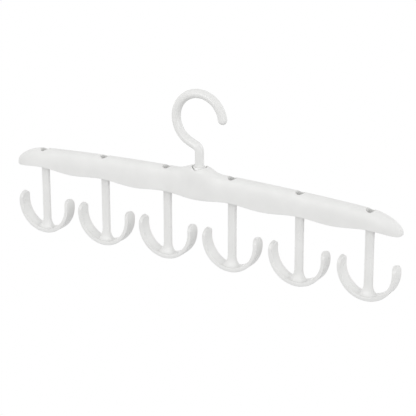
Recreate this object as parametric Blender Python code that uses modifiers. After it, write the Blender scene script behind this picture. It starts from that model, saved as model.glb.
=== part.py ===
# Rotating closet hook
#
# A closet rod carries a round question-mark hook. An arched, open-bottomed beam turns under it,
# and six anchor-shaped double hooks turn under the beam, each on its own spigot and screw.
# Metres, +Z up. X runs along the beam and the front faces -Y.
# The origin is the point of the hook's inner crown that rests on the closet rod.

import math

import bmesh
import bpy


# Fits shared by all pieces
clearance = 0.0003
cut_overrun = 0.004
merge_distance = 0.00001
weld_distance = 0.00004

# Rod hook: a round wire, a circle over the beam's middle, an elbow and a straight neck
hook_wire = 0.0076
hook_opening = 0.0362
mouth_angle = math.radians(83)
leave_angle = math.radians(155)
elbow_radius = 0.0050
neck_length = 0.0156
neck_chamfer = 0.0006

# Double hooks: a flat ribbon bent to an arc, on a flat stem that flares into it
hook_count = 6
arm_radius = 0.0256
arm_thickness = 0.0034
arm_depth = 0.0118
arm_edge = 0.0009
arm_sweep = math.radians(108)
hook_gap = 0.0108
hang_drop = 0.0602
stem_width = 0.0077
stem_depth = 0.0039
stem_roundness = 2.6
foot_radius = 0.0098
foot_bury = 0.0008
foot_margin = 0.0014
flare_start_share = 0.1

# Beam: the moulded shell
wall = 0.0018
stem_room = 0.00115
beam_height = 0.0208
arch_drop = 0.0051
scallop_depth = 0.0022
end_overhang = 0.0282
end_shoulder = 0.0016
end_curl = 0.0085
nose_rise = 0.0009
section_roundness = 3.6
top_fall_roundness = 1.8
plan_roundness = 2.6
curl_roundness = 3.7
nose_share = 0.96
rib_thickness = 0.0015
rib_rise = 0.0070

# Hump over the swivel
hump_height = 0.0044
hump_flat = 0.0039
hump_slope = 0.0173
hump_wall = 0.0020
hump_roundness = 4.5
swell_share = 0.45

# Pivots of the double hooks: a ledge inside the beam, a spigot, a washer and a screw
access_hole = 0.0080
boss_wall = 0.0015
ledge_rise = 0.0050
ledge_thickness = 0.0026
spigot_diameter = 0.0050
pivot_washer_thickness = 0.0005
pivot_shank = 0.0022
pivot_screw_length = 0.0080
pivot_head_height = 0.0016
head_room = 0.0009

# Swivel of the rod hook: a bush, a ledge, a washer and a screw from below
bush_wall = 0.0011
bush_flange = 0.0015
bush_recess = 0.0008
swivel_gap = 0.0012
swivel_ledge_rise = 0.0090
swivel_ledge_thickness = 0.0030
swivel_washer_thickness = 0.0010
swivel_shank = 0.0032
swivel_screw_length = 0.0120
swivel_head = 0.0066
swivel_head_height = 0.0022

# Cross recess of the screws, as shares of the head's diameter and height
recess_length_share = 0.62
recess_width_share = 0.16
recess_depth_share = 0.55
head_crown_share = 0.45

# Facet counts
wire_steps = 32
tip_steps = 4
elbow_steps = 4
wire_sides = 12
section_steps = 12
stations_per_pitch = 9
hump_stations = 7
end_stations = 9
arm_steps = 18
arm_tip_steps = 5
stem_sides = 16
flare_steps = 5
round_steps = 20
fastener_steps = 12

# Sizes that follow
hook_pitch = 2 * arm_radius + hook_gap
half_span = hook_pitch * (hook_count - 1) / 2
half_length = half_span + end_overhang
end_fall = end_overhang - end_shoulder
half_depth = stem_width / 2 + stem_room + wall
wire_radius = hook_wire / 2
bend_radius = hook_opening / 2 + wire_radius
bush_bore = wire_radius + clearance
bush_radius = bush_bore + bush_wall
swivel_hole = bush_radius + swivel_gap
hump_half_depth = max(half_depth, swivel_hole + hump_wall)
hump_foot = hump_flat + hump_slope

# Heights that follow, from the crown down
circle_z = -hook_opening / 2
leave_x = -bend_radius * math.sin(leave_angle)
leave_z = circle_z + bend_radius * math.cos(leave_angle)
neck_slope = math.pi - leave_angle
elbow_z = leave_z + leave_x * math.tan(neck_slope)
hump_z = elbow_z - neck_length
ridge_z = hump_z - hump_height
rim_z = ridge_z - beam_height
ledge_z = rim_z + ledge_rise
ledge_top_z = ledge_z + ledge_thickness
swivel_ledge_z = rim_z + swivel_ledge_rise
swivel_ledge_top_z = swivel_ledge_z + swivel_ledge_thickness
pivot_washer_z = ledge_top_z + clearance
pivot_seat_z = pivot_washer_z + pivot_washer_thickness + clearance
pivot_pilot_z = pivot_seat_z - pivot_screw_length - clearance
swivel_washer_z = swivel_ledge_z - clearance - swivel_washer_thickness
swivel_seat_z = swivel_washer_z - clearance
swivel_pilot_z = swivel_seat_z + swivel_screw_length + clearance
arm_z = rim_z - hang_drop + arm_radius


def clear_scene():
    """Remove every object, so that the model starts from an empty scene."""
    for item in list(bpy.data.objects):
        bpy.data.objects.remove(item, do_unlink=True)


def new_collection(name):
    """Make a collection under the scene's own."""
    group = bpy.data.collections.new(name)
    bpy.context.scene.collection.children.link(group)
    return group


def new_material(name, colour, roughness, metallic):
    """Make a Principled material with one colour, roughness and metallic value."""
    material = bpy.data.materials.new(name)
    material.use_nodes = True
    shader = material.node_tree.nodes["Principled BSDF"]
    shader.inputs["Base Color"].default_value = (*colour, 1.0)
    shader.inputs["Roughness"].default_value = roughness
    shader.inputs["Metallic"].default_value = metallic
    material.diffuse_color = (*colour, 1.0)
    return material


def place(item, group, location=(0, 0, 0)):
    """Link an object to its collection at its place."""
    group.objects.link(item)
    item.location = location
    return item


def as_cutter(item):
    """Mark an object as a cutter that is never rendered."""
    item.hide_render = True
    item.display_type = "WIRE"
    return item


def cut(item, cutter, operation="DIFFERENCE"):
    """Add a Boolean modifier with the exact solver."""
    modifier = item.modifiers.new(cutter.name, "BOOLEAN")
    modifier.operation = operation
    modifier.solver = "EXACT"
    modifier.object = cutter


def weld(item):
    """Close up the hair-thin slivers that a cut leaves where corners nearly meet."""
    modifier = item.modifiers.new("weld", "WELD")
    modifier.merge_threshold = weld_distance


def evaluated_mesh(item, name):
    """Return the mesh that an object's modifiers make, as a new mesh."""
    bpy.context.view_layer.update()
    graph = bpy.context.evaluated_depsgraph_get()
    mesh = bpy.data.meshes.new_from_object(item.evaluated_get(graph))
    mesh.name = name
    return mesh


def smooth(mesh, angle=math.radians(35)):
    """Shade the round faces smooth and keep the edges of flat ones sharp."""
    mesh.shade_smooth()
    mesh.set_sharp_from_angle(angle=angle)


def loft(name, *bodies):
    """Bridge each body's closed rings of equal length into a capped solid, all in one object."""
    shape = bmesh.new()
    for rings in bodies:
        loops = [[shape.verts.new(point) for point in ring] for ring in rings]
        for near, far in zip(loops, loops[1:]):
            for index in range(len(near)):
                following = (index + 1) % len(near)
                shape.faces.new((near[index], near[following], far[following], far[index]))
        shape.faces.new(list(reversed(loops[0])))
        shape.faces.new(loops[-1])
    bmesh.ops.recalc_face_normals(shape, faces=shape.faces)
    mesh = bpy.data.meshes.new(name)
    shape.to_mesh(mesh)
    shape.free()
    return bpy.data.objects.new(name, mesh)


def turned(name, profile, closed=False, steps=round_steps):
    """Turn a profile of (radius, height) points round the Z axis with a Screw modifier."""
    shape = bmesh.new()
    points = [shape.verts.new((radius, 0, height)) for radius, height in profile]
    for start, end in zip(points, points[1:]):
        shape.edges.new((start, end))
    if closed:
        shape.edges.new((points[-1], points[0]))
    mesh = bpy.data.meshes.new(name)
    shape.to_mesh(mesh)
    shape.free()
    item = bpy.data.objects.new(name, mesh)
    screw = item.modifiers.new("turn", "SCREW")
    screw.axis = "Z"
    screw.angle = math.tau
    screw.steps = steps
    screw.render_steps = steps
    screw.use_merge_vertices = True
    screw.merge_threshold = merge_distance
    return item


def box(name, low, high):
    """Make a box between two opposite corners."""
    shape = bmesh.new()
    bmesh.ops.create_cube(shape, size=1)
    for corner in shape.verts:
        for axis in range(3):
            corner.co[axis] = low[axis] if corner.co[axis] < 0 else high[axis]
    mesh = bpy.data.meshes.new(name)
    shape.to_mesh(mesh)
    shape.free()
    return bpy.data.objects.new(name, mesh)


def post_rings(x, profile):
    """List the round rings of a post or stepped drill at x, from (radius, height) pairs."""
    rings = []
    for radius, height in profile:
        circle = superellipse(radius, radius, 2, round_steps)
        rings.append([(x + across, along, height) for across, along in circle])
    return rings


def slab_rings(x, thickness, half_width, low_z, high_z):
    """List the two rings of a cross rib centred on x."""
    near = x - thickness / 2
    far = x + thickness / 2
    corners = [(near, -half_width), (far, -half_width), (far, half_width), (near, half_width)]
    return [[(across, along, height) for across, along in corners] for height in (low_z, high_z)]


def ease(value):
    """Run smoothly from 0 to 1 with level ends."""
    value = min(max(value, 0), 1)
    return value * value * (3 - 2 * value)


def round_off(share, roundness):
    """Give the height of a superellipse, from 1 in its middle to 0 at its end."""
    share = min(abs(share), 1)
    return (1 - share ** roundness) ** (1 / roundness)


def superellipse(half_width, half_height, roundness, steps):
    """List the points of a superellipse, anticlockwise."""
    points = []
    for index in range(steps):
        angle = math.tau * index / steps
        across = math.copysign(abs(math.cos(angle)) ** (2 / roundness), math.cos(angle))
        along = math.copysign(abs(math.sin(angle)) ** (2 / roundness), math.sin(angle))
        points.append((half_width * across, half_height * along))
    return points


def hook_places():
    """List the X places of the double hooks, from left to right."""
    return [index * hook_pitch - half_span for index in range(hook_count)]


def hump_share(x):
    """Give 1 on the hump's flat top and 0 beyond its foot."""
    return 1 - ease((abs(x) - hump_flat) / hump_slope)


def end_share(x, length, inset):
    """Give how far x lies into an end stretch of the beam, from 0 to 1."""
    reach = half_length - inset
    return max(0, (abs(x) - (reach - length + inset)) / (length - inset))


def ridge_height(x, inset):
    """Give the height of the beam's top, arched, humped and falling to the nose."""
    nose = rim_z + nose_rise
    top = ridge_z - arch_drop * (x / half_span) ** 2 + hump_height * hump_share(x) - inset
    return nose + (top - nose) * round_off(end_share(x, end_fall, inset), top_fall_roundness)


def rim_height(x, inset):
    """Give the height of the scalloped rim, high at each stem and curled up at the nose."""
    nose = rim_z + nose_rise
    wave = (1 - math.cos(math.tau * (abs(x) - half_span) / hook_pitch)) / 2
    low = rim_z - scallop_depth * wave
    return nose + (low - nose) * round_off(end_share(x, end_curl, inset), curl_roundness)


def skin_depth(x, rise, inset):
    """Give half the beam's depth at a share of its height, swollen over the rim at the hump."""
    swell = (hump_half_depth - half_depth) * hump_share(x) * ease(rise / swell_share)
    return (half_depth + swell - inset) * round_off(end_share(x, end_fall, inset), plan_roundness)


def beam_stations(inset):
    """List where the beam's sections lie: even along it, closer on the hump and at the ends."""
    reach = half_length - inset
    start = reach - end_fall + inset
    places = {0}
    count = stations_per_pitch * (hook_count - 1) // 2
    step = start / count
    for index in range(1, hump_stations + 1):
        places.add(hump_foot * index / hump_stations)
    places.update(index * step for index in range(1, count) if index * step > hump_foot + step / 2)
    for index in range(end_stations):
        turn = nose_share * index / (end_stations - 1) * math.pi / 2
        places.add(start + (reach - start) * math.sin(turn))
    half = sorted(places)
    return [-place for place in reversed(half[1:])] + half


def beam_body(name, inset, drop):
    """Loft the beam's outside, or its hollow where inset is the wall and drop opens the underside."""
    rings = []
    for x in beam_stations(inset):
        top = ridge_height(x, inset)
        low = rim_height(x, inset)
        roundness = section_roundness + (hump_roundness - section_roundness) * hump_share(x)
        ring = []
        for index in range(section_steps + 1):
            angle = math.pi * index / section_steps
            across = math.copysign(abs(math.cos(angle)) ** (2 / roundness), math.cos(angle))
            rise = math.sin(angle) ** (2 / roundness)
            ring.append((x, -skin_depth(x, rise, inset) * across, low + (top - low) * rise))
        if drop:
            depth = skin_depth(x, 0, inset)
            ring.append((x, depth, low - drop))
            ring.append((x, -depth, low - drop))
        rings.append(ring)
    return loft(name, rings)


def make_beam(parts, cutters, material):
    """Mould the beam: a lofted skin, its hollow, and the bosses and ribs left standing in the hollow."""
    sky = hump_z + cut_overrun
    side = hump_half_depth + cut_overrun
    boss_radius = access_hole / 2 + boss_wall
    swivel_boss = swivel_hole + boss_wall
    spigot_bore = spigot_diameter / 2 + clearance
    cores = [post_rings(0, [(swivel_boss, swivel_ledge_z), (swivel_boss, sky)])]
    drills = [post_rings(0, [(bush_bore, swivel_ledge_z - cut_overrun), (bush_bore, swivel_ledge_top_z),
                             (swivel_hole, swivel_ledge_top_z), (swivel_hole, sky)])]
    for x in hook_places():
        cores.append(post_rings(x, [(boss_radius, ledge_z), (boss_radius, sky)]))
        drills.append(post_rings(x, [(spigot_bore, ledge_z - cut_overrun), (spigot_bore, ledge_top_z),
                                     (access_hole / 2, ledge_top_z), (access_hole / 2, sky)]))
        rib_x = x + hook_pitch / 2
        if rib_x < half_span and abs(rib_x) > swivel_boss + rib_thickness:
            cores.append(slab_rings(rib_x, rib_thickness, side, rim_z + rib_rise, sky))

    hollow = place(as_cutter(beam_body("beam_hollow", wall, scallop_depth + cut_overrun)), cutters)
    cut(hollow, place(as_cutter(loft("bosses_and_ribs", *cores)), cutters))
    beam = place(beam_body("beam_shell", 0, 0), parts)
    cut(beam, hollow)
    cut(beam, place(as_cutter(loft("hole_drills", *drills)), cutters))
    weld(beam)
    beam.data.materials.append(material)
    smooth(beam.data)
    return beam


def wire_route():
    """List the rod hook's centre line as (x, z, radius), from its tip round to the neck's lower end."""
    route = []
    for index in range(tip_steps):
        share = 1 - (index + 1) / (tip_steps + 1)
        angle = mouth_angle + math.asin(share * wire_radius / bend_radius)
        route.append((bend_radius * math.sin(angle), circle_z + bend_radius * math.cos(angle),
                      wire_radius * round_off(share, 2)))
    for index in range(wire_steps + 1):
        angle = mouth_angle - (mouth_angle + leave_angle) * index / wire_steps
        route.append((bend_radius * math.sin(angle), circle_z + bend_radius * math.cos(angle), wire_radius))
    turn = math.pi / 2 - neck_slope
    tangent = elbow_radius * math.tan(turn / 2)
    centre_z = elbow_z - tangent
    for index in range(elbow_steps + 1):
        angle = turn - turn * index / elbow_steps
        x = elbow_radius * (math.cos(angle) - 1)
        route.append((x, centre_z + elbow_radius * math.sin(angle), wire_radius))
    route.append((0, swivel_ledge_z + neck_chamfer, wire_radius))
    route.append((0, swivel_ledge_z, wire_radius - neck_chamfer))
    return route


def make_rod_hook(parts, cutters, material):
    """Bend the rod hook from round wire and bore its lower end for the screw."""
    line = bpy.data.curves.new("hook_line", "CURVE")
    line.dimensions = "3D"
    line.bevel_depth = 1
    line.bevel_resolution = (wire_sides - 4) // 2
    line.use_fill_caps = True
    route = wire_route()
    spline = line.splines.new("POLY")
    spline.points.add(len(route) - 1)
    for point, (x, z, radius) in zip(spline.points, route):
        point.co = (x, 0, z, 1)
        point.radius = radius
    guide = place(bpy.data.objects.new("hook_line", line), cutters)
    mesh = evaluated_mesh(guide, "swivel_hook")
    bpy.data.objects.remove(guide, do_unlink=True)
    shape = bmesh.new()
    shape.from_mesh(mesh)
    bmesh.ops.remove_doubles(shape, verts=shape.verts, dist=merge_distance)
    bmesh.ops.recalc_face_normals(shape, faces=shape.faces)
    shape.to_mesh(mesh)
    shape.free()
    hook = place(bpy.data.objects.new("swivel_hook", mesh), parts)
    bore = swivel_shank / 2 + clearance
    low = swivel_ledge_z - cut_overrun
    profile = [(0, swivel_pilot_z), (bore, swivel_pilot_z), (bore, low), (0, low)]
    tool = turned("swivel_pilot", profile)
    cut(hook, place(as_cutter(tool), cutters))
    weld(hook)
    mesh.materials.clear()
    mesh.materials.append(material)
    smooth(mesh)
    return hook


def arm_ribbon(name):
    """Loft the flat ribbon along its arc, with rounded edges and half-round tips."""
    middle = arm_radius - arm_thickness / 2
    reach = middle * arm_sweep
    half = arm_depth / 2
    runs = []
    for index in range(arm_tip_steps):
        angle = math.pi / 2 * (index + 1) / (arm_tip_steps + 1)
        runs.append((reach - half * (1 - math.sin(angle)), half * math.sin(angle)))
    inner = reach - half
    for index in range(arm_steps + 1):
        runs.append((inner * (1 - 2 * index / arm_steps), half))
    runs += [(-run, reduced) for run, reduced in reversed(runs[:arm_tip_steps])]
    rings = []
    for run, reduced in runs:
        angle = run / middle
        edge = min(arm_edge, reduced / 2)
        half_section = [(-reduced, edge), (edge - reduced, 0), (reduced - edge, 0), (reduced, edge)]
        ring = []
        for side, corners in ((-1, half_section), (1, list(reversed(half_section)))):
            for across, lift in corners:
                radius = middle + side * (arm_thickness / 2 - lift)
                rise = arm_z - ledge_z - radius * math.cos(angle)
                ring.append((radius * math.sin(angle), across, rise))
        rings.append(ring)
    return loft(name, rings)


def stem_loft(name):
    """Loft the flat stem from its trumpet foot up to the shoulder and the round spigot."""
    inner_z = arm_z - arm_radius + arm_thickness - ledge_z
    foot_z = inner_z - foot_bury
    rings = []
    deepest = arm_depth / 2 - foot_margin
    start = foot_radius * flare_start_share
    for index in range(flare_steps + 1):
        rise = start + (foot_radius - start) * index / flare_steps
        flare = foot_radius * (1 - round_off(1 - rise / foot_radius, 2))
        width = stem_width / 2 + flare
        depth = min(stem_depth / 2 + flare, deepest)
        z = foot_z + rise - start
        rings.append([(x, y, z) for x, y in superellipse(width, depth, stem_roundness, stem_sides)])
    shoulder_z = -clearance
    top_z = ledge_thickness
    neck = spigot_diameter / 2
    stem = superellipse(stem_width / 2, stem_depth / 2, stem_roundness, stem_sides)
    rings.append([(x, y, shoulder_z) for x, y in stem])
    for z in (shoulder_z, top_z):
        rings.append([(x, y, z) for x, y in superellipse(neck, neck, 2, stem_sides)])
    return loft(name, rings)


def make_double_hooks(parts, cutters, materials):
    """Join ribbon and stem, bore the spigot, and hang six copies on their pivots."""
    stem = place(stem_loft("stem_tool"), cutters)
    ribbon = place(arm_ribbon("ribbon_tool"), cutters)
    bore = pivot_shank / 2 + clearance
    top = ledge_thickness + cut_overrun
    low = pivot_pilot_z - ledge_z
    pilot = place(turned("pivot_pilot", [(0, top), (bore, top), (bore, low), (0, low)]), cutters)
    cut(stem, ribbon, "UNION")
    cut(stem, pilot)
    weld(stem)
    mesh = evaluated_mesh(stem, "double_hook")
    for tool in (stem, ribbon, pilot):
        bpy.data.objects.remove(tool, do_unlink=True)
    smooth(mesh)
    for index, x in enumerate(hook_places()):
        copy = mesh.copy()
        copy.materials.clear()
        copy.materials.append(materials[index])
        hook = bpy.data.objects.new(f"double_hook_{index + 1}", copy)
        place(hook, parts, (x, 0, ledge_z))
    bpy.data.meshes.remove(mesh)


def washer(name, bore, radius, thickness, material):
    """Turn a flat washer that stands on its own origin."""
    profile = [(bore, thickness), (radius, thickness), (radius, 0), (bore, 0)]
    item = turned(name, profile, True, fastener_steps)
    item.data.materials.append(material)
    return item


def screw_mesh(name, head_radius, head_height, shank_radius, length, cutters):
    """Turn a pan-head screw, head up with its underside at zero, and cut its cross recess."""
    crown = head_height * (1 - head_crown_share)
    point = shank_radius / 2
    profile = [(0, head_height), (head_radius / 2, head_height), (head_radius, crown), (head_radius, 0),
               (shank_radius, 0), (shank_radius, point - length), (point, -length), (0, -length)]
    blank = place(turned(name, profile, False, fastener_steps), cutters)
    reach = head_radius * recess_length_share
    half = head_radius * recess_width_share
    floor = head_height * (1 - recess_depth_share)
    top = head_height + cut_overrun
    along = place(box("recess_along", (-reach, -half, floor), (reach, half, top)), cutters)
    across = place(box("recess_across", (-half, -reach, floor), (half, reach, top)), cutters)
    cut(along, across, "UNION")
    cut(blank, along)
    mesh = evaluated_mesh(blank, name)
    for tool in (blank, along, across):
        bpy.data.objects.remove(tool, do_unlink=True)
    return mesh


def make_pivots(parts, cutters, washer_materials, screw_materials):
    """Put a washer on each pivot ledge and a screw through it into the spigot."""
    head_radius = access_hole / 2 - head_room
    mesh = screw_mesh("pivot_screw", head_radius, pivot_head_height, pivot_shank / 2,
                      pivot_screw_length, cutters)
    for index, x in enumerate(hook_places()):
        bore = pivot_shank / 2 + clearance
        radius = access_hole / 2 - clearance
        ring = washer(f"pivot_washer_{index + 1}", bore, radius, pivot_washer_thickness,
                      washer_materials[index])
        place(ring, parts, (x, 0, pivot_washer_z))
        copy = mesh.copy()
        copy.materials.clear()
        copy.materials.append(screw_materials[index])
        place(bpy.data.objects.new(f"pivot_screw_{index + 1}", copy), parts, (x, 0, pivot_seat_z))
    bpy.data.meshes.remove(mesh)


def make_swivel(parts, cutters, bush_material, washer_material, screw_material):
    """Line the hump's hole with a flanged bush, and hold the neck from below with washer and screw."""
    low = swivel_ledge_top_z + clearance
    collar_z = low + bush_flange
    top = hump_z - bush_recess
    flange = swivel_hole - clearance
    profile = [(bush_bore, top), (bush_radius, top), (bush_radius, collar_z), (flange, collar_z),
               (flange, low), (bush_bore, low)]
    bush = place(turned("swivel_bush", profile, closed=True), parts)
    bush.data.materials.append(bush_material)
    bore = swivel_shank / 2 + clearance
    ring = washer("hook_washer", bore, bush_radius, swivel_washer_thickness, washer_material)
    place(ring, parts, (0, 0, swivel_washer_z))
    mesh = screw_mesh("hook_screw", swivel_head / 2, swivel_head_height, swivel_shank / 2,
                      swivel_screw_length, cutters)
    mesh.materials.clear()
    mesh.materials.append(screw_material)
    screw = place(bpy.data.objects.new("hook_screw", mesh), parts, (0, 0, swivel_seat_z))
    screw.rotation_euler = (math.pi, 0, 0)


def main():
    """Build the closet hook."""
    clear_scene()
    parts = new_collection("rotating_closet_hook")
    cutters = new_collection("cutters")
    white = (0.86, 0.86, 0.85)
    steel = (0.62, 0.63, 0.64)

    def plastic(name):
        return new_material(name, white, 0.35, 0)

    def metal(name):
        return new_material(name, steel, 0.3, 1)

    make_beam(parts, cutters, plastic("beam_plastic"))
    make_rod_hook(parts, cutters, plastic("rod_hook_plastic"))
    numbers = range(1, hook_count + 1)
    make_double_hooks(parts, cutters, [plastic(f"double_hook_plastic_{number}") for number in numbers])
    washers = [metal(f"pivot_washer_steel_{number}") for number in numbers]
    screws = [metal(f"pivot_screw_steel_{number}") for number in numbers]
    make_pivots(parts, cutters, washers, screws)
    make_swivel(parts, cutters, plastic("bush_plastic"), metal("hook_washer_steel"),
                metal("hook_screw_steel"))


main()
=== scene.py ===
# %% [markdown]
# # A rotating closet hook in white plastic
# The object hangs on a closet rod by a round hook. Under it turns a long, hollow, slightly arched
# beam, and under the beam hang double hooks, each like a small anchor on a flat stem.
# The measured solids are loaded first. They say where everything is and how it moves, and each
# visible piece is then modelled again with a finer surface, exactly on top of its solid.

# %% Load the solids
import math

import bmesh
import bpy
from mathutils import Matrix, Vector


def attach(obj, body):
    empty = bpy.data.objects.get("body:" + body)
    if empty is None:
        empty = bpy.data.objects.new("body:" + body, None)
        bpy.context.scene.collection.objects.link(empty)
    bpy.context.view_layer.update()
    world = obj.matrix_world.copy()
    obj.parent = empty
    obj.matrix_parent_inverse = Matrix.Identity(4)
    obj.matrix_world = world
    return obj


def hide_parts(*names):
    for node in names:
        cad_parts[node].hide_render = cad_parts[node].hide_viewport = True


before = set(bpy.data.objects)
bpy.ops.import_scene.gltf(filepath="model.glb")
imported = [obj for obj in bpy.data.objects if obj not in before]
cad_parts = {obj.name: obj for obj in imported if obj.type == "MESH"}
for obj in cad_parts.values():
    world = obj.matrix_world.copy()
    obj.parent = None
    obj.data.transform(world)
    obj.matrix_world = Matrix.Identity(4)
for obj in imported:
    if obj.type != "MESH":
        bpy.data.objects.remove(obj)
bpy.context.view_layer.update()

# %% [markdown]
# ## Sizes
# All lengths are metres. X runs along the beam, the front faces -Y, and the origin is the point of
# the round hook that rests on the rod. The heights below follow from the sizes above them, the way
# a drawing chains its dimensions, so a change in one place moves everything under it. The three
# values named round say how full the beam's end curves are: 2 would be a plain ellipse.

# %% Sizes of the round hook
wire_radius = 0.0038
hook_opening = 0.0362
crook_radius = hook_opening / 2 + wire_radius
mouth_angle = math.radians(83)
leave_angle = math.radians(155)
elbow_radius = 0.0050
neck_length = 0.0156

crook_z = -hook_opening / 2
leave_x = -crook_radius * math.sin(leave_angle)
leave_z = crook_z + crook_radius * math.cos(leave_angle)
neck_slope = math.pi - leave_angle
elbow_z = leave_z + leave_x * math.tan(neck_slope)

# %% Sizes of the beam
hook_count = 6
hook_pitch = 0.0620
half_span = (hook_count - 1) / 2 * hook_pitch
half_length = half_span + 0.02815
end_fall = 0.0266
end_curl = 0.0085
nose_rise = 0.0009
ridge_round = 1.8
rim_round = 3.7
plan_round = 2.6
arch_drop = 0.0051
scallop_depth = 0.0022
half_depth = 0.0068
swell = 0.0007
hump_height = 0.0042
hump_flat = 0.0039
hump_slope = 0.0173
wall = 0.0018
hump_z = elbow_z - neck_length
ridge_z = hump_z - hump_height
rim_z = ridge_z - 0.0210

# %% Sizes of the pivots and double hooks
ledge_z = rim_z + 0.0050
ledge_top_z = ledge_z + 0.0026
swivel_ledge_z = rim_z + 0.0090
swivel_ledge_top_z = swivel_ledge_z + 0.0030
clearance = 0.0003
overrun = 0.001
access_radius = 0.0040
swivel_hole = 0.0064
neck_bore = wire_radius + clearance
spigot_radius = 0.0025
boss_wall = 0.0015
rib_wall = 0.0015
rib_z = rim_z + 0.0070
rim_edge = 0.0004
access_edge = 0.0003
swivel_edge = 0.0004
arm_radius = 0.0256
arm_thickness = 0.0034
arm_depth = 0.0118
arm_edge = 0.0006
arm_sweep = math.radians(108)
arm_z = rim_z - 0.0602 + arm_radius
stem_half_width = 0.00385
stem_half_depth = 0.00195
hook_places = [index * hook_pitch - half_span for index in range(hook_count)]
print("beam from", -half_length, "to", half_length, "rim at", round(rim_z, 5))

# %% [markdown]
# ## Camera
# The photograph looks at the hanger from the front right and a little above, with a long lens, so
# the beam's far end is only slightly smaller than its near end. The camera stands where the
# outlines of the solids fall on the outlines in the photograph.

# %% Stand the camera
camera_place = Vector((0.68520, -1.15990, 0.39395))
turn_right = math.radians(30.28)
look_down = math.radians(19.93)
tilt = math.radians(-0.13)
camera_data = bpy.data.cameras.new("view")
camera_data.sensor_width = 36
camera_data.lens = 149.82
camera_data.clip_end = 60
camera = bpy.data.objects.new("view", camera_data)
camera.location = camera_place
camera.rotation_euler = (Matrix.Rotation(turn_right, 3, "Z")
                         @ Matrix.Rotation(math.pi / 2 - look_down, 3, "X")
                         @ Matrix.Rotation(tilt, 3, "Z")).to_euler()
bpy.context.scene.collection.objects.link(camera)
bpy.context.scene.camera = camera
print("camera", round(camera_place.length, 3), "m from the crown")

# %% [markdown]
# ## Small helpers
# Blender's operators work on whatever is selected, so each step first says exactly what that is.
# Points are picked by their place in space, which keeps working when a size changes.


# %% Helpers for selecting
def take(*pieces):
    """Select only these pieces in object mode."""
    bpy.ops.object.select_all(action="DESELECT")
    for piece in pieces:
        piece.select_set(True)
    bpy.context.view_layer.objects.active = pieces[0]


def pick(test):
    """In edit mode, select only the points whose place passes the test."""
    mesh = bpy.context.edit_object.data
    shape = bmesh.from_edit_mesh(mesh)
    for part in (shape.faces, shape.edges, shape.verts):
        for item in part:
            item.select = False
    for point in shape.verts:
        point.select = bool(test(point.co))
    shape.select_flush(True)
    bmesh.update_edit_mesh(mesh)


def extrude_by(x=0, y=0, z=0):
    """Pull a copy of what is selected out along a straight line."""
    bpy.ops.mesh.extrude_region_move(TRANSFORM_OT_translate={"value": (x, y, z)})


def stretch(x=1, y=1, z=1, centre=(0, 0, 0)):
    """Scale what is selected about a fixed point."""
    bpy.ops.transform.resize(value=(x, y, z), center_override=centre)


def face_outward():
    """Merge doubled points of the whole mesh and turn its faces outward."""
    bpy.ops.mesh.select_all(action="SELECT")
    bpy.ops.mesh.remove_doubles(threshold=0.000005)
    bpy.ops.mesh.normals_make_consistent(inside=False)


def apply_all(piece):
    """Apply a piece's modifiers in their order."""
    take(piece)
    for modifier in list(piece.modifiers):
        bpy.ops.object.modifier_apply(modifier=modifier.name)


def carve(piece, tool, operation="DIFFERENCE"):
    """Cut a tool out of a piece, or join it on, and throw the tool away."""
    modifier = piece.modifiers.new(tool.name, "BOOLEAN")
    modifier.operation = operation
    modifier.solver = "EXACT"
    modifier.object = tool
    apply_all(piece)
    bpy.data.objects.remove(tool, do_unlink=True)


def copy_to(piece, name, x=0, y=0, z=0):
    """Copy a piece with a mesh of its own and put the new place in the mesh."""
    twin = piece.copy()
    twin.data = piece.data.copy()
    twin.name = name
    twin.data.name = name
    bpy.context.scene.collection.objects.link(twin)
    twin.data.transform(Matrix.Translation((x, y, z)))
    return twin


def lathe(name, outline, closed=False, sides=48):
    """Run an outline of (radius, height) corners round the Z axis, ring by ring."""
    bpy.ops.object.select_all(action="DESELECT")
    radius, height = outline[0]
    bpy.ops.mesh.primitive_circle_add(vertices=sides, radius=radius, location=(0, 0, height),
                                      fill_type="NOTHING" if closed else "NGON")
    piece = bpy.context.active_object
    piece.name = name
    bpy.ops.object.transform_apply(location=True, rotation=True, scale=True)
    bpy.ops.object.mode_set(mode="EDIT")
    bpy.ops.mesh.select_all(action="SELECT")
    for new_radius, new_height in outline[1:] + (outline[:1] if closed else []):
        extrude_by(z=new_height - height)
        stretch(new_radius / radius, new_radius / radius, 1)
        radius, height = new_radius, new_height
    face_outward()
    bpy.ops.object.mode_set(mode="OBJECT")
    return piece


def tell(piece):
    """Print a piece's name, faces and size."""
    size = [round(edge * 1000, 1) for edge in piece.dimensions]
    print(piece.name, "faces", len(piece.data.polygons), "mm", size)

# %% [markdown]
# ## The beam
# The real beam is one moulding: a long hollow bar, open below, whose sides swell where the round
# hook goes in and close to a soft nose at each end. It could be drawn point by point, but a maker
# would start from one cross-section and pull it along. So half of the bar is extruded ring by ring
# from its middle to its nose, each ring a little lower and narrower by the same few rules, and a
# Mirror modifier gives the other half. The section also changes its character: it is a rounded
# square under the round hook, where the boss fills it, and nearly an oval at the noses. That is
# pressed into the finished bar. Cutting a slightly smaller bar out of it leaves the wall.


# %% Rules of the beam's outline
def ease(value):
    """Run smoothly from 0 to 1 with level ends."""
    value = min(max(value, 0), 1)
    return value * value * (3 - 2 * value)


def round_off(share, power):
    """Fall from 1 to 0 along a rounded corner."""
    return (1 - min(share, 1) ** power) ** (1 / power)


def hump_share(x):
    """Say how much of the hump there is at x."""
    return 1 - ease((abs(x) - hump_flat) / hump_slope)


def end_share(x, length, inset):
    """Say how far x lies into an end stretch of the beam."""
    return max(0, (abs(x) - half_length + length) / (length - inset))


def top_at(x, inset):
    """Give the height of the ridge at x."""
    nose = rim_z + nose_rise
    top = ridge_z - arch_drop * (x / half_span) ** 2 + hump_height * hump_share(x) - inset
    return nose + (top - nose) * round_off(end_share(x, end_fall, inset), ridge_round)


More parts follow.
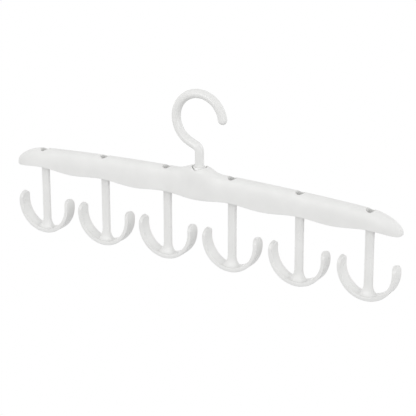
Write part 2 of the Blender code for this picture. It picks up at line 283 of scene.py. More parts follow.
def rim_at(x, inset):
    """Give the height of the scalloped rim at x."""
    nose = rim_z + nose_rise
    low = rim_z - scallop_depth * (1 - math.cos(math.tau * (abs(x) - half_span) / hook_pitch)) / 2
    return nose + (low - nose) * round_off(end_share(x, end_curl, inset), rim_round)


def depth_at(x, inset):
    """Give half the beam's depth at x."""
    return (half_depth - inset) * round_off(end_share(x, end_fall, inset), plan_round)


# %% Pull the bar out ring by ring
ring_points = 33
side_share = 0.45
side_cuts = 4
side_power = 3.1
hump_power = 6.0
nose_power = 2.5
boss_reach = 0.0115
nose_start = half_span - 0.011
nose_reach = 0.014
hump_step = 0.0015
hump_rings = 15
straight_rings = 66
nose_rings = 18
nose_cover = 0.985


def power_at(x):
    """Say how square the section is at x: square under the round hook, oval at the noses."""
    boss = 1 - ease((abs(x) - hump_flat) / boss_reach)
    nose = ease((abs(x) - nose_start) / nose_reach)
    return side_power + (hump_power - side_power) * boss - (side_power - nose_power) * nose


def beam_rings(inset):
    """List the rings' places from middle to nose, closer where the form turns faster."""
    fall_start = half_length - end_fall
    places = [index * hump_step for index in range(1, hump_rings + 1)]
    last = places[-1]
    places += [last + (fall_start - last) * (index + 1) / straight_rings
               for index in range(straight_rings)]
    reach = half_length - inset - fall_start
    places += [fall_start + reach * math.sin(math.pi / 2 * nose_cover * (index + 1) / nose_rings)
               for index in range(nose_rings)]
    return places


def make_bar(name, inset, edge=0):
    """Extrude half a bar from one oval ring and mirror it; edge rounds its lower corners."""
    bpy.ops.object.select_all(action="DESELECT")
    bpy.ops.mesh.primitive_circle_add(vertices=2 * (ring_points - 1), radius=1,
                                      rotation=(math.pi / 2, 0, math.pi / 2))
    bar = bpy.context.active_object
    bar.name = name
    bpy.ops.object.transform_apply(location=True, rotation=True, scale=True)
    bpy.ops.object.mode_set(mode="EDIT")
    pick(lambda place: place.z < -0.001)
    bpy.ops.mesh.delete(type="VERT")
    shape = bmesh.from_edit_mesh(bar.data)
    for point in shape.verts:
        across = min(abs(point.co.y), 1)
        rise = max(point.co.z, 0)
        point.co.y = math.copysign(across ** (2 / side_power), point.co.y) if across > 1e-6 else 0
        point.co.z = rise ** (2 / side_power)
    bmesh.update_edit_mesh(bar.data)
    pick(lambda place: place.z < side_share)
    bpy.ops.mesh.subdivide(number_cuts=side_cuts)
    pick(lambda place: place.z < 0.001)
    bpy.ops.mesh.edge_face_add()
    bpy.ops.mesh.select_all(action="SELECT")
    depth, low, top = depth_at(0, inset), rim_at(0, inset), top_at(0, inset)
    stretch(1, depth, top - low)
    if edge:
        pick(lambda place: place.z < 0.00001)
        bpy.ops.mesh.bevel(offset=edge, segments=4, profile=0.5, affect="VERTICES")
        bpy.ops.mesh.select_all(action="SELECT")
    bpy.ops.transform.translate(value=(0, 0, low))
    last_x = 0
    for x in beam_rings(inset):
        extrude_by(x - last_x)
        new_depth, new_low, new_top = depth_at(x, inset), rim_at(x, inset), top_at(x, inset)
        stretch(1, new_depth / depth, (new_top - new_low) / (top - low), (x, 0, low))
        bpy.ops.transform.translate(value=(0, 0, new_low - low))
        last_x, depth, low, top = x, new_depth, new_low, new_top
    bpy.ops.mesh.edge_face_add()
    bpy.ops.object.mode_set(mode="OBJECT")
    mirror = bar.modifiers.new("other half", "MIRROR")
    mirror.merge_threshold = 0.00002
    apply_all(bar)
    bpy.ops.object.mode_set(mode="EDIT")
    face_outward()
    bpy.ops.object.mode_set(mode="OBJECT")
    return bar


# %% Press the sections to their shape
def press_sections(bar, inset):
    """Make each section as square as its rule says, and swell the hump's sides."""
    for point in bar.data.vertices:
        depth, low, top = (rule(point.co.x, inset) for rule in (depth_at, rim_at, top_at))
        low += rim_edge * 1.01
        across = min(abs(point.co.y) / depth, 1)
        if point.co.z > low:
            share = side_power / power_at(point.co.x)
            across = across ** share
            point.co.z = low + (top - low) * min((point.co.z - low) / (top - low), 1) ** share
        point.co.y = math.copysign((depth + swell * hump_share(point.co.x)) * across, point.co.y)


beam = make_bar("beam", 0, rim_edge)
press_sections(beam, 0)
tell(beam)

# %% [markdown]
# ## The beam's hollow
# A smaller bar, one wall thickness in from the skin, is the core that the mould pulls out from
# below. The core has holes where the bosses and ribs are to stand, so those are cut out of it
# first: each boss is a post with a ledge at its foot, on which a screw's washer rests, and the thin
# cross ribs keep the long sides apart. Drills then open the bores from above. The holes on top have
# softly rounded rims that follow the curved skin, and a bevel would stumble over the Boolean's
# uneven edges there. So each drill is turned with a flare at its top, and the flare is draped over
# the skin before it cuts.

# %% Shape the core
core_reach = 0.006
core = make_bar("core", wall)
press_sections(core, wall)
take(core)
bpy.ops.object.mode_set(mode="EDIT")
pick(lambda place: abs(place.z - rim_at(place.x, wall)) < 0.00002)
extrude_by(z=-core_reach)
face_outward()
bpy.ops.object.mode_set(mode="OBJECT")
tell(core)


# %% Stand the bosses and ribs in the core
def posts(name, radius, low, high, places, sides=48):
    """Make one tool of upright round posts at several places along the beam."""
    made = []
    for x in places:
        bpy.ops.object.select_all(action="DESELECT")
        bpy.ops.mesh.primitive_cylinder_add(vertices=sides, radius=radius, depth=high - low,
                                            location=(x, 0, (low + high) / 2))
        made.append(bpy.context.active_object)
    take(*made)
    if len(made) > 1:
        bpy.ops.object.join()
    tool = bpy.context.active_object
    tool.name = name
    bpy.ops.object.transform_apply(location=True, rotation=True, scale=True)
    return tool


above_all = hump_z + 4 * overrun
carve(core, posts("bosses", access_radius + boss_wall, ledge_z, above_all, hook_places))
carve(core, posts("swivel_boss", swivel_hole + boss_wall, swivel_ledge_z, above_all, [0]))
for rib_x in (-2 * hook_pitch, -hook_pitch, hook_pitch, 2 * hook_pitch):
    bpy.ops.object.select_all(action="DESELECT")
    bpy.ops.mesh.primitive_cube_add(size=1, location=(rib_x, 0, (rib_z + above_all) / 2),
                                    scale=(rib_wall, 4 * half_depth, above_all - rib_z))
    rib = bpy.context.active_object
    rib.name = "rib"
    bpy.ops.object.transform_apply(location=True, rotation=True, scale=True)
    carve(core, rib)

# %% Round the rims of the holes
def skin_height(x, y):
    """Give the height of the beam's skin above a point."""
    power = power_at(x)
    across = min(abs(y) / (depth_at(x, 0) + swell * hump_share(x)), 1)
    return rim_at(x, 0) + (top_at(x, 0) - rim_at(x, 0)) * (1 - across ** power) ** (1 / power)


def drill(name, radius, edge, bottom, x):
    """Turn a drill that flares softly where it leaves the beam's skin."""
    outline = [(radius, bottom), (radius, -edge)]
    outline += [(radius + edge - edge * math.cos(way), edge * math.sin(way) - edge)
                for way in (math.radians(22.5 * step) for step in range(1, 5))]
    outline += [(radius + edge, 3 * overrun)]
    bit = lathe(name, outline, sides=96)
    for point in bit.data.vertices:
        point.co.x += x
        if point.co.z > bottom + overrun:
            point.co.z += skin_height(point.co.x, point.co.y)
    return bit


# %% Cut the core and the bores out of the bar
carve(beam, core)
for x in hook_places:
    carve(beam, drill("access", access_radius, access_edge, ledge_top_z, x))
carve(beam, posts("spigots", spigot_radius + clearance, ledge_z - 4 * overrun,
                  ledge_top_z + overrun, hook_places))
carve(beam, drill("swivel_way", swivel_hole, swivel_edge, swivel_ledge_top_z, 0))
carve(beam, posts("neck_way", neck_bore, rim_z, swivel_ledge_top_z + overrun, [0]))
tell(beam)

# %% [markdown]
# ## The double hooks
# Each double hook is a flat ribbon bent round to most of a circle, hung from a flat stem whose foot
# spreads out where it meets the ribbon. A bent ribbon is hard to edge neatly once it is bent, so it
# is cut and rounded flat, sliced across so that it can bend smoothly, and only then bent with a
# Simple Deform modifier. The bend keeps the length of the ribbon's middle layer, which is why the
# flat length is that layer's radius times the angle.


# %% Cut the ribbon flat and round its edges
def pick_faces(test):
    """In edit mode, select only the faces whose normal and middle pass the test."""
    mesh = bpy.context.edit_object.data
    shape = bmesh.from_edit_mesh(mesh)
    pick(lambda place: False)
    for face in shape.faces:
        face.select_set(bool(test(face.normal, face.calc_center_median())))
    bmesh.update_edit_mesh(mesh)


corner_points = 66
inset_spare = 0.0003
middle_radius = arm_radius - arm_thickness / 2
ribbon_reach = middle_radius * arm_sweep
half_arm = arm_depth / 2
bpy.ops.object.select_all(action="DESELECT")
bpy.ops.mesh.primitive_circle_add(vertices=corner_points, radius=half_arm, fill_type="NGON",
                                  location=(0, arm_thickness / 2, 0),
                                  rotation=(math.pi / 2, math.pi / 2, 0))
hook = bpy.context.active_object
hook.name = "double_hook"
bpy.ops.object.transform_apply(location=True, rotation=True, scale=True)
bpy.ops.object.mode_set(mode="EDIT")
bpy.ops.mesh.select_mode(type="VERT")
for side in (-1, 1):
    pick(lambda place: place.x * side > 0)
    bpy.ops.transform.translate(value=(side * (ribbon_reach - half_arm), 0, 0))
bpy.ops.mesh.select_all(action="SELECT")
extrude_by(y=-arm_thickness)
face_outward()
bpy.ops.mesh.select_mode(type="FACE")
pick_faces(lambda normal, place: abs(normal.y) > 0.9)
bpy.ops.mesh.inset(thickness=arm_edge + inset_spare, depth=0)
bpy.ops.mesh.select_mode(type="EDGE")
bpy.ops.mesh.select_all(action="DESELECT")
bpy.ops.mesh.edges_select_sharp(sharpness=math.radians(60))
bpy.ops.mesh.bevel(offset=arm_edge, segments=4, profile=0.5, affect="EDGES")

# %% Slice the ribbon and bend it
slices = 72
for index in range(1, slices):
    bpy.ops.mesh.select_all(action="SELECT")
    cut_x = ribbon_reach * (2 * index / slices - 1)
    bpy.ops.mesh.bisect(plane_co=(cut_x, 0, 0), plane_no=(1, 0, 0))
bpy.ops.mesh.select_mode(type="VERT")
bpy.ops.object.mode_set(mode="OBJECT")
bend = hook.modifiers.new("bend", "SIMPLE_DEFORM")
bend.deform_method = "BEND"
bend.deform_axis = "Z"
bend.angle = 2 * arm_sweep
apply_all(hook)
hook.rotation_euler = (math.pi / 2, 0, 0)
hook.location = (0, 0, arm_z - middle_radius)
bpy.ops.object.transform_apply(location=True, rotation=True, scale=True)
tell(hook)

# %% [markdown]
# The stem starts as a rounded oblong and is drawn down. At the foot it widens slowly at first and
# then quickly, until it lies almost flat on the ribbon, as plastic flows in a mould. The rings of
# the foot are then let down onto the curved ribbon, so the skirt is equally high all round. Only
# the last, flat ring stays where it is, buried in the ribbon, so that the union leaves no pocket.

# %% Draw the stem down to its foot
foot_height = 0.0086
foot_wide = 0.0050
foot_deep = 0.0032
foot_flare = 1.35
foot_rings = 14
foot_lift = 0.00003
foot_root = 0.0004
stem_power = 2.6
inner_radius = arm_radius - arm_thickness
ribbon_z = arm_z - inner_radius
bpy.ops.object.select_all(action="DESELECT")
bpy.ops.mesh.primitive_circle_add(vertices=48, radius=1, fill_type="NGON")
stem = bpy.context.active_object
stem.name = "stem"
bpy.ops.object.mode_set(mode="EDIT")
shape = bmesh.from_edit_mesh(stem.data)
for point in shape.verts:
    point.co.x = math.copysign(abs(point.co.x) ** (2 / stem_power), point.co.x)
    point.co.y = math.copysign(abs(point.co.y) ** (2 / stem_power), point.co.y)
bmesh.update_edit_mesh(stem.data)
bpy.ops.mesh.select_all(action="SELECT")
stretch(stem_half_width, stem_half_depth, 1)
last_z = ledge_z - clearance
bpy.ops.transform.translate(value=(0, 0, last_z))
wide, deep = stem_half_width, stem_half_depth
for index in range(foot_rings + 1):
    rise = (1 - index / foot_rings) ** 2
    flare = (1 - math.sqrt(rise)) ** foot_flare
    new_wide, new_deep = stem_half_width + foot_wide * flare, stem_half_depth + foot_deep * flare
    new_z = ribbon_z + foot_lift + foot_height * rise
    extrude_by(z=new_z - last_z)
    stretch(new_wide / wide, new_deep / deep, 1)
    wide, deep, last_z = new_wide, new_deep, new_z
extrude_by(z=-foot_root)
face_outward()
shape = bmesh.from_edit_mesh(stem.data)
for point in shape.verts:
    if ribbon_z - foot_root / 2 < point.co.z < ledge_z - overrun:
        point.co.z += inner_radius - math.sqrt(inner_radius ** 2 - point.co.x ** 2)
bmesh.update_edit_mesh(stem.data)
bpy.ops.object.mode_set(mode="OBJECT")
tell(stem)

# %% Join ribbon, stem and spigot, and hang six copies
spigot_root = 0.0013
pilot_radius = 0.0014
pilot_depth = 0.0072
carve(stem, posts("spigot", spigot_radius, ledge_z - spigot_root, ledge_top_z, [0]), "UNION")
carve(stem, posts("pilot", pilot_radius, ledge_top_z - pilot_depth, ledge_top_z + overrun, [0]))
carve(hook, stem, "UNION")
tell(hook)
double_hooks = [copy_to(hook, f"anchor_hook_{index + 1}", x=x)
                for index, x in enumerate(hook_places)]
bpy.data.objects.remove(hook, do_unlink=True)

# %% [markdown]
# ## The rod hook
# The round hook is one plain rod of plastic. It is modelled the way wire is bent: a ring of points
# is pulled up out of the beam, spun round the small elbow, pulled along the straight, and spun
# round the large crook. A Spin turns what is selected about an axis and leaves a skin behind it.


# %% Bend the rod hook
def ring_middle():
    """Give the middle of the selected points."""
    shape = bmesh.from_edit_mesh(bpy.context.edit_object.data)
    chosen = [point.co for point in shape.verts if point.select]
    return sum(chosen, Vector()) / len(chosen)


def sweep(angle, centre, steps):
    """Spin the selected ring about an axis along Y."""
    bpy.ops.mesh.spin(steps=steps, angle=angle, center=centre, axis=(0, 1, 0))


neck_edge = 0.0006
neck_share = wire_radius / (wire_radius - neck_edge)
screw_bore = 0.0019
screw_depth = 0.0107
elbow_steps = 20
crook_steps = 96
elbow_turn = math.pi / 2 - neck_slope
elbow_low = elbow_z - elbow_radius * math.tan(elbow_turn / 2)
bpy.ops.object.select_all(action="DESELECT")
bpy.ops.mesh.primitive_circle_add(vertices=24, radius=wire_radius - neck_edge,
                                  location=(0, 0, swivel_ledge_z), fill_type="NGON")
rod_hook = bpy.context.active_object
rod_hook.name = "round_hook"
bpy.ops.object.transform_apply(location=True, rotation=True, scale=True)
bpy.ops.object.mode_set(mode="EDIT")
extrude_by(z=neck_edge)
stretch(neck_share, neck_share, 1)
extrude_by(z=elbow_low - swivel_ledge_z - neck_edge)
print("neck ends at", ring_middle() * 1000)
sweep(elbow_turn, (-elbow_radius, 0, elbow_low), elbow_steps)
elbow_end = ring_middle()
print("elbow ends at", elbow_end * 1000)
extrude_by(x=leave_x - elbow_end.x, z=leave_z - elbow_end.z)
sweep(-(mouth_angle + leave_angle), (0, 0, crook_z), crook_steps)
print("crook ends at", ring_middle() * 1000)

# %% Round the hook's tip like a fingertip
tip_rings = 8
tip_share = 0.02
size, angle = 1, 0
for index in range(1, tip_rings + 1):
    way = math.pi / 2 * index / tip_rings
    new_angle = math.asin(math.sin(way) * wire_radius / crook_radius)
    new_size = max(math.cos(way), tip_share)
    sweep(-(new_angle - angle), (0, 0, crook_z), 1)
    share = new_size / size
    stretch(share, share, share, ring_middle())
    size, angle = new_size, new_angle
bpy.ops.mesh.edge_face_add()
face_outward()
bpy.ops.object.mode_set(mode="OBJECT")
carve(rod_hook, posts("neck_bore", screw_bore, swivel_ledge_z - overrun,
                      swivel_ledge_z + screw_depth, [0]))
tell(rod_hook)

# %% [markdown]
# ## Bush, washers and screws
# These small parts are turned parts: each is one outline run once round an axis, by the same
# helper that made the drills. A thin flanged bush lines the hump's hole, and pan-head screws with a
# cross recess and a washer hold the hooks from inside.


# %% Round off a flat ring
def rounded(inner, outer, low, high, edge):
    """List a flat ring's outline with its corners rounded."""
    corners = [(outer - edge, low + edge, -90), (outer - edge, high - edge, 0),
               (inner + edge, high - edge, 90), (inner + edge, low + edge, 180)]
    ways = [(x, z, math.radians(start + step))
            for x, z, start in corners for step in (0, 30, 60, 90)]
    return [(x + edge * math.cos(way), z + edge * math.sin(way)) for x, z, way in ways]


# %% Turn the bush and the washers
collar_z = swivel_ledge_top_z + clearance
collar_radius = swivel_hole - clearance
collar_height = 0.0015
collar_top = collar_z + collar_height
sleeve_radius = 0.0052
lip_radius = 0.0039
lip_height = 0.0010
bush_top = hump_z - clearance
soft = 0.0003
bush = lathe("bush", [(neck_bore, collar_z), (collar_radius, collar_z),
                      (collar_radius, collar_top - soft), (collar_radius - soft, collar_top),
                      (sleeve_radius, collar_top), (sleeve_radius, bush_top - soft),
                      (sleeve_radius - 0.3 * soft, bush_top - soft / 3),
                      (sleeve_radius - soft, bush_top), (lip_radius + soft, bush_top),
                      (lip_radius + soft / 3, bush_top - soft / 3),
                      (lip_radius, bush_top - soft), (neck_bore, bush_top - lip_height)],
             closed=True, sides=64)
tell(bush)

hook_washer_radius = 0.0052
hook_washer_height = 0.0010
hook_washer_edge = 0.00025
hook_washer_top = swivel_ledge_z - clearance
hook_washer_low = hook_washer_top - hook_washer_height
flat_ring = rounded(screw_bore, hook_washer_radius, hook_washer_low, hook_washer_top,
                    hook_washer_edge)
hook_washer = lathe("hook_ring", flat_ring, closed=True)
tell(hook_washer)

pivot_washer_radius = 0.0037
pivot_washer_height = 0.0005
pivot_washer_edge = 0.0002
pivot_washer_low = ledge_top_z + clearance
pivot_washer_top = pivot_washer_low + pivot_washer_height
flat_ring = rounded(pilot_radius, pivot_washer_radius, pivot_washer_low, pivot_washer_top,
                    pivot_washer_edge)
pivot_washer = lathe("pivot_ring", flat_ring, closed=True)
tell(pivot_washer)


# %% Turn the screws and press their cross recesses
recess_length = 1.24
recess_width = 0.32
recess_taper = 0.72


def make_screw(name, head, height, shank, length):
    """Turn a pan-head screw that stands on the underside of its head, and cut its recess."""
    outline = [(head * 0.35, height)]
    outline += [(head * (0.35 + 0.6 * math.sin(way)), height * (0.4 + 0.6 * math.cos(way)))
                for way in (math.radians(step) for step in (20, 40, 60, 80))]
    outline += [(head, height * 0.4), (head, height * 0.12), (head * 0.97, 0), (shank, 0),
                (shank, shank * 1.2 - length), (shank * 0.5, -length)]
    screw = lathe(name, outline)
    arms = []
    for wide, deep in ((recess_length, recess_width), (recess_width, recess_length)):
        bpy.ops.object.select_all(action="DESELECT")
        bpy.ops.mesh.primitive_cube_add(size=1, scale=(head * wide, head * deep, height),
                                        location=(0, 0, height * 0.95))
        arm = bpy.context.active_object
        bpy.ops.object.transform_apply(location=True, rotation=True, scale=True)
        bpy.ops.object.mode_set(mode="EDIT")
        pick(lambda place: place.z < height * 0.6)
        stretch(recess_taper, recess_taper, 1)
        bpy.ops.object.mode_set(mode="OBJECT")
        arms.append(arm)
    carve(arms[0], arms[1], "UNION")
    carve(screw, arms[0])
    return screw


pivot_screw = make_screw("pivot_bolt", head=0.0031, height=0.0016, shank=0.0011, length=0.0080)
hook_screw = make_screw("hook_bolt", head=0.0033, height=0.0022, shank=0.0016, length=0.0120)
hook_screw.rotation_euler = (math.pi, 0, 0)
take(hook_screw)
bpy.ops.object.transform_apply(location=False, rotation=True, scale=False)
hook_screw.data.transform(Matrix.Translation((0, 0, hook_washer_low - clearance)))
tell(hook_screw)
pivot_rings = [copy_to(pivot_washer, f"pivot_ring_{index + 1}", x=x)
               for index, x in enumerate(hook_places)]
pivot_bolts = [copy_to(pivot_screw, f"pivot_bolt_{index + 1}", x=x, z=pivot_washer_top + clearance)
               for index, x in enumerate(hook_places)]
for spare in (pivot_washer, pivot_screw):
    bpy.data.objects.remove(spare, do_unlink=True)

# %% [markdown]
# ## What each piece stands for
# Every modelled piece takes the place of one measured solid and moves with that solid's body.

# %% Tie the pieces to the bodies
fittings = [(rod_hook, "swivel_hook", "rod_hook", "rod_hook_plastic"),
            (hook_washer, "hook_washer", "rod_hook", "zinc_steel"),
            (hook_screw, "hook_screw", "rod_hook", "zinc_steel"),
            (beam, "beam_shell", "beam", "beam_plastic"),
            (bush, "swivel_bush", "beam", "bush_plastic")]
for index in range(hook_count):
    body = f"turning_hook_{index + 1}"
    fittings += [(double_hooks[index], f"double_hook_{index + 1}", body, "double_hook_plastic"),
                 (pivot_rings[index], f"pivot_washer_{index + 1}", body, "zinc_steel"),
                 (pivot_bolts[index], f"pivot_screw_{index + 1}", body, "zinc_steel")]
for piece, node, body, slot in fittings:
    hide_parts(node)
    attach(piece, body)
    take(piece)
    bpy.ops.object.shade_smooth_by_angle(angle=math.radians(35))
print("pieces:", len(fittings))

# %% [markdown]
# ## Moulded plastic
# The real hanger is white polypropylene straight from the mould: a satin surface that is never
# quite even. Thick places sink a little as they cool, so long highlights waver, a fine grain from
# the steel of the mould breaks the gloss, and the white clouds very slightly where the melt flowed.
# One node group makes these effects from noise at several scales, and every plastic piece uses it
# with values of its own: the round hook is the glossiest, and shows narrow highlights along its
# rod. The patterns are laid out in Object coordinates, which are metres here, so a scale of 60
# makes clouds about as long as a fingertip is wide.


# %% Helpers for shader nodes
def add_socket(group, name, kind, way="INPUT", value=None):
    """Give a node group one more named socket."""
    socket = group.interface.new_socket(name=name, in_out=way, socket_type=kind)
    if value is not None:
        socket.default_value = value


def noise(tree, place, scale, detail):
    """Add a noise texture laid out in object space."""
    node = tree.nodes.new("ShaderNodeTexNoise")
    node.inputs["Scale"].default_value = scale
    node.inputs["Detail"].default_value = detail
    tree.links.new(place.outputs["Object"], node.inputs["Vector"])
    return node.outputs["Fac"]


def between(tree, value, low, high):
    """Stretch a noise value to a range whose ends may be numbers or sockets."""
    node = tree.nodes.new("ShaderNodeMapRange")
    node.inputs["From Min"].default_value = 0.3
    node.inputs["From Max"].default_value = 0.7
    tree.links.new(value, node.inputs["Value"])
    for name, end in (("To Min", low), ("To Max", high)):
        if isinstance(end, float):
            node.inputs[name].default_value = end
        else:
            tree.links.new(end, node.inputs[name])
    return node.outputs["Result"]


def bump(tree, height, distance, strength, below=None):
    """Add a bump from a height, on top of another bump if there is one."""
    node = tree.nodes.new("ShaderNodeBump")
    node.inputs["Distance"].default_value = distance
    tree.links.new(height, node.inputs["Height"])
    tree.links.new(strength, node.inputs["Strength"])
    if below:
        tree.links.new(below, node.inputs["Normal"])
    return node.outputs["Normal"]


# %% Build the moulded surface once
cloud_scale = 60
gloss_scale = 240
sink_scale = 110
sink_depth = 0.0004
grain_scale = 4200
grain_depth = 0.00002
moulding = bpy.data.node_groups.new("moulded_surface", "ShaderNodeTree")
add_socket(moulding, "Plastic", "NodeSocketColor", value=(0.82, 0.82, 0.81, 1))
add_socket(moulding, "Cloudy", "NodeSocketColor", value=(0.78, 0.78, 0.77, 1))
add_socket(moulding, "Smoothest", "NodeSocketFloat", value=0.34)
add_socket(moulding, "Roughest", "NodeSocketFloat", value=0.46)
add_socket(moulding, "Sink", "NodeSocketFloat", value=0.25)
add_socket(moulding, "Grain", "NodeSocketFloat", value=0.2)
add_socket(moulding, "Colour", "NodeSocketColor", "OUTPUT")
add_socket(moulding, "Roughness", "NodeSocketFloat", "OUTPUT")
add_socket(moulding, "Normal", "NodeSocketVector", "OUTPUT")
given = moulding.nodes.new("NodeGroupInput")
made = moulding.nodes.new("NodeGroupOutput")
where = moulding.nodes.new("ShaderNodeTexCoord")
clouds = noise(moulding, where, cloud_scale, 3)
blend = moulding.nodes.new("ShaderNodeMix")
blend.data_type = "RGBA"
moulding.links.new(between(moulding, clouds, 0.0, 1.0), blend.inputs["Factor"])
moulding.links.new(given.outputs["Plastic"], blend.inputs["A"])
moulding.links.new(given.outputs["Cloudy"], blend.inputs["B"])
moulding.links.new(blend.outputs["Result"], made.inputs["Colour"])
flow = noise(moulding, where, gloss_scale, 4)
moulding.links.new(between(moulding, flow, given.outputs["Smoothest"], given.outputs["Roughest"]),
                   made.inputs["Roughness"])
sinks = noise(moulding, where, sink_scale, 1)
sunk = bump(moulding, sinks, sink_depth, given.outputs["Sink"])
grain = noise(moulding, where, grain_scale, 2)
grained = bump(moulding, grain, grain_depth, given.outputs["Grain"], sunk)
moulding.links.new(grained, made.inputs["Normal"])
print("moulded_surface:", len(moulding.nodes), "nodes")


# %% Mix the plastics
def moulded(name, values):
    """Make a plastic whose colour, gloss and surface come from the shared group."""
    material = bpy.data.materials.new(name)
    material.use_nodes = True
    tree = material.node_tree
    shader = tree.nodes["Principled BSDF"]
    surface = tree.nodes.new("ShaderNodeGroup")
    surface.node_tree = moulding
    surface.location = (-300, 200)
    for socket, value in values.items():
        surface.inputs[socket].default_value = value
    tree.links.new(surface.outputs["Colour"], shader.inputs["Base Color"])
    tree.links.new(surface.outputs["Roughness"], shader.inputs["Roughness"])
    tree.links.new(surface.outputs["Normal"], shader.inputs["Normal"])
    shader.inputs["IOR"].default_value = 1.49
    return material


plastics = {
    "beam_plastic": moulded("white_beam_plastic",
                            {"Sink": 0.20, "Smoothest": 0.32, "Roughest": 0.42}),
    "double_hook_plastic": moulded("white_hook_plastic",
                                   {"Sink": 0.15, "Smoothest": 0.26, "Roughest": 0.36}),
    "rod_hook_plastic": moulded("white_rod_plastic",
                                {"Sink": 0.15, "Smoothest": 0.16, "Roughest": 0.24}),
    # The bush's plastic is whiter than the rest: partly a whiter bush plastic, partly a painted
    # highlight that lifts the collar's top where the hole shades it.
    "bush_plastic": moulded("white_bush_plastic",
                            {"Plastic": (0.91, 0.91, 0.90, 1), "Cloudy": (0.88, 0.88, 0.87, 1),
                             "Sink": 0.10, "Grain": 0.1})}
print("plastics:", ", ".join(material.name for material in plastics.values()))

# %% [markdown]
# ## Zinc-plated steel
# The screws and washers are steel with a thin zinc plating. Plating is bright but never a mirror:
# it shows a faint crystal pattern and small differences of gloss. Voronoi cells a third of a
# millimetre wide stand for the crystals, and each cell turns the colour and the gloss a little.

# %% Plate the steel
crystal_scale = 3000
zinc = bpy.data.materials.new("zinc_plate")
zinc.use_nodes = True
tree = zinc.node_tree
shader = tree.nodes["Principled BSDF"]
shader.inputs["Metallic"].default_value = 1
where = tree.nodes.new("ShaderNodeTexCoord")
crystals = tree.nodes.new("ShaderNodeTexVoronoi")
crystals.inputs["Scale"].default_value = crystal_scale
tree.links.new(where.outputs["Object"], crystals.inputs["Vector"])
tone = tree.nodes.new("ShaderNodeSeparateColor")
tree.links.new(crystals.outputs["Color"], tone.inputs["Color"])
shine = tree.nodes.new("ShaderNodeMix")
shine.data_type = "RGBA"
shine.inputs["A"].default_value = (0.55, 0.56, 0.58, 1)
shine.inputs["B"].default_value = (0.68, 0.68, 0.67, 1)
tree.links.new(tone.outputs["Red"], shine.inputs["Factor"])
tree.links.new(shine.outputs["Result"], shader.inputs["Base Color"])
gloss = tree.nodes.new("ShaderNodeMapRange")
gloss.inputs["To Min"].default_value = 0.22
gloss.inputs["To Max"].default_value = 0.40
tree.links.new(tone.outputs["Green"], gloss.inputs["Value"])
tree.links.new(gloss.outputs["Result"], shader.inputs["Roughness"])

# %% Give each piece its material
for piece, node, body, slot in fittings:
    piece.data.materials.clear()
    piece.data.materials.append(plastics.get(slot, zinc))
print("materials on", len(fittings), "pieces")

# %% [markdown]
# ## Floor, backdrop and light
# The photograph's background is pure white and shows no shadow, because the hanger hangs high
# above the floor. So the floor lies well below, and it and the world turn white for rays that come
# straight from the camera, or by way of a mirror or glass. All other rays find a plain grey floor
# and a sky, so the white background adds no light to the object. The sky is brightest at the
# horizon, as in a room with pale walls, because the photograph's upright sides are as light as its
# tops. Its strength follows the square of the height that a ray points to.

# %% Tell the background from the light
def seen_directly(tree):
    """Give 1 for rays that should see the white background, and 0 for rays that carry light."""
    path = tree.nodes.new("ShaderNodeLightPath")
    total = path.outputs["Is Camera Ray"]
    for name in ("Is Glossy Ray", "Is Transmission Ray"):
        either = tree.nodes.new("ShaderNodeMath")
        either.operation = "MAXIMUM"
        tree.links.new(total, either.inputs[0])
        tree.links.new(path.outputs[name], either.inputs[1])
        total = either.outputs["Value"]
    return total


# %% Lay the floor
floor_z = -0.6
floor_grey = 0.40
bpy.ops.object.select_all(action="DESELECT")
bpy.ops.mesh.primitive_plane_add(size=14, location=(0, 0, floor_z))
floor = bpy.context.active_object
floor.name = "floor"
floor_paint = bpy.data.materials.new("floor_paint")
floor_paint.use_nodes = True
tree = floor_paint.node_tree
matt = tree.nodes["Principled BSDF"]
matt.inputs["Base Color"].default_value = (floor_grey, floor_grey, floor_grey, 1)
matt.inputs["Roughness"].default_value = 0.7
white = tree.nodes.new("ShaderNodeEmission")
which = tree.nodes.new("ShaderNodeMixShader")
tree.links.new(seen_directly(tree), which.inputs["Fac"])
tree.links.new(matt.outputs["BSDF"], which.inputs[1])
tree.links.new(white.outputs["Emission"], which.inputs[2])
tree.links.new(which.outputs["Shader"], tree.nodes["Material Output"].inputs["Surface"])
floor.data.materials.append(floor_paint)
print("floor", abs(floor_z), "m below the rod")

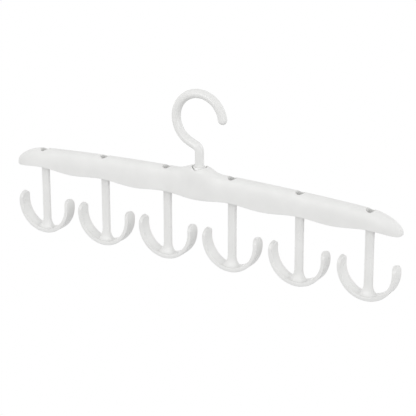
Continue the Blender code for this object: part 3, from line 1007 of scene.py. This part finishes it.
# %% Hang the sky
horizon_glow = 1.11
zenith_glow = 0.57
sky_world = bpy.data.worlds.new("studio")
bpy.context.scene.world = sky_world
sky_world.use_nodes = True
tree = sky_world.node_tree
fill = tree.nodes["Background"]
fill.inputs["Color"].default_value = (1, 1, 1, 1)
way = tree.nodes.new("ShaderNodeTexCoord")
parts = tree.nodes.new("ShaderNodeSeparateXYZ")
tree.links.new(way.outputs["Generated"], parts.inputs["Vector"])
square = tree.nodes.new("ShaderNodeMath")
square.operation = "MULTIPLY"
tree.links.new(parts.outputs["Z"], square.inputs[0])
tree.links.new(parts.outputs["Z"], square.inputs[1])
glow = tree.nodes.new("ShaderNodeMapRange")
glow.inputs["To Min"].default_value = horizon_glow
glow.inputs["To Max"].default_value = zenith_glow
tree.links.new(square.outputs["Value"], glow.inputs["Value"])
tree.links.new(glow.outputs["Result"], fill.inputs["Strength"])
backdrop = tree.nodes.new("ShaderNodeBackground")
backdrop.inputs["Color"].default_value = (1, 1, 1, 1)
which = tree.nodes.new("ShaderNodeMixShader")
tree.links.new(seen_directly(tree), which.inputs["Fac"])
tree.links.new(fill.outputs["Background"], which.inputs[1])
tree.links.new(backdrop.outputs["Background"], which.inputs[2])
tree.links.new(which.outputs["Shader"], tree.nodes["World Output"].inputs["Surface"])
print("sky strength", horizon_glow, "at the horizon and", zenith_glow, "overhead")

# %% [markdown]
# Three large soft lamps do the modelling of the forms. The key lamp stands low at the front, a
# little to the left, so the long face of the beam is brightest. A weaker one at the right lights
# the sides that are turned from it, and the third, behind the right end and higher, lifts the tops.
# Their strengths were chosen so that the greys come out as in the photograph.


# %% Stand the lamps
lamp_distance = 2.4
lamp_width = 1.2
lit_place = Vector((0, 0, -0.07))


def stand_lamp(name, azimuth, height, power):
    """Stand a square lamp so many degrees round from the front and above, facing the object."""
    data = bpy.data.lights.new(name, "AREA")
    data.shape = "SQUARE"
    data.size = lamp_width
    data.energy = power
    lamp = bpy.data.objects.new(name, data)
    around, above = math.radians(azimuth), math.radians(height)
    way = Vector((math.sin(around) * math.cos(above), -math.cos(around) * math.cos(above),
                  math.sin(above)))
    lamp.location = lit_place + way * lamp_distance
    lamp.rotation_euler = way.to_track_quat("Z", "Y").to_euler()
    bpy.context.scene.collection.objects.link(lamp)
    return lamp


for name, azimuth, height, power in (("key", -20, 15, 10.8), ("side", 65, 5, 6.2),
                                     ("rear", 130, 30, 5.5)):
    lamp = stand_lamp(name, azimuth, height, power)
    print(name, "lamp at", [round(value, 2) for value in lamp.location])
bpy.context.scene.view_settings.view_transform = "Standard"
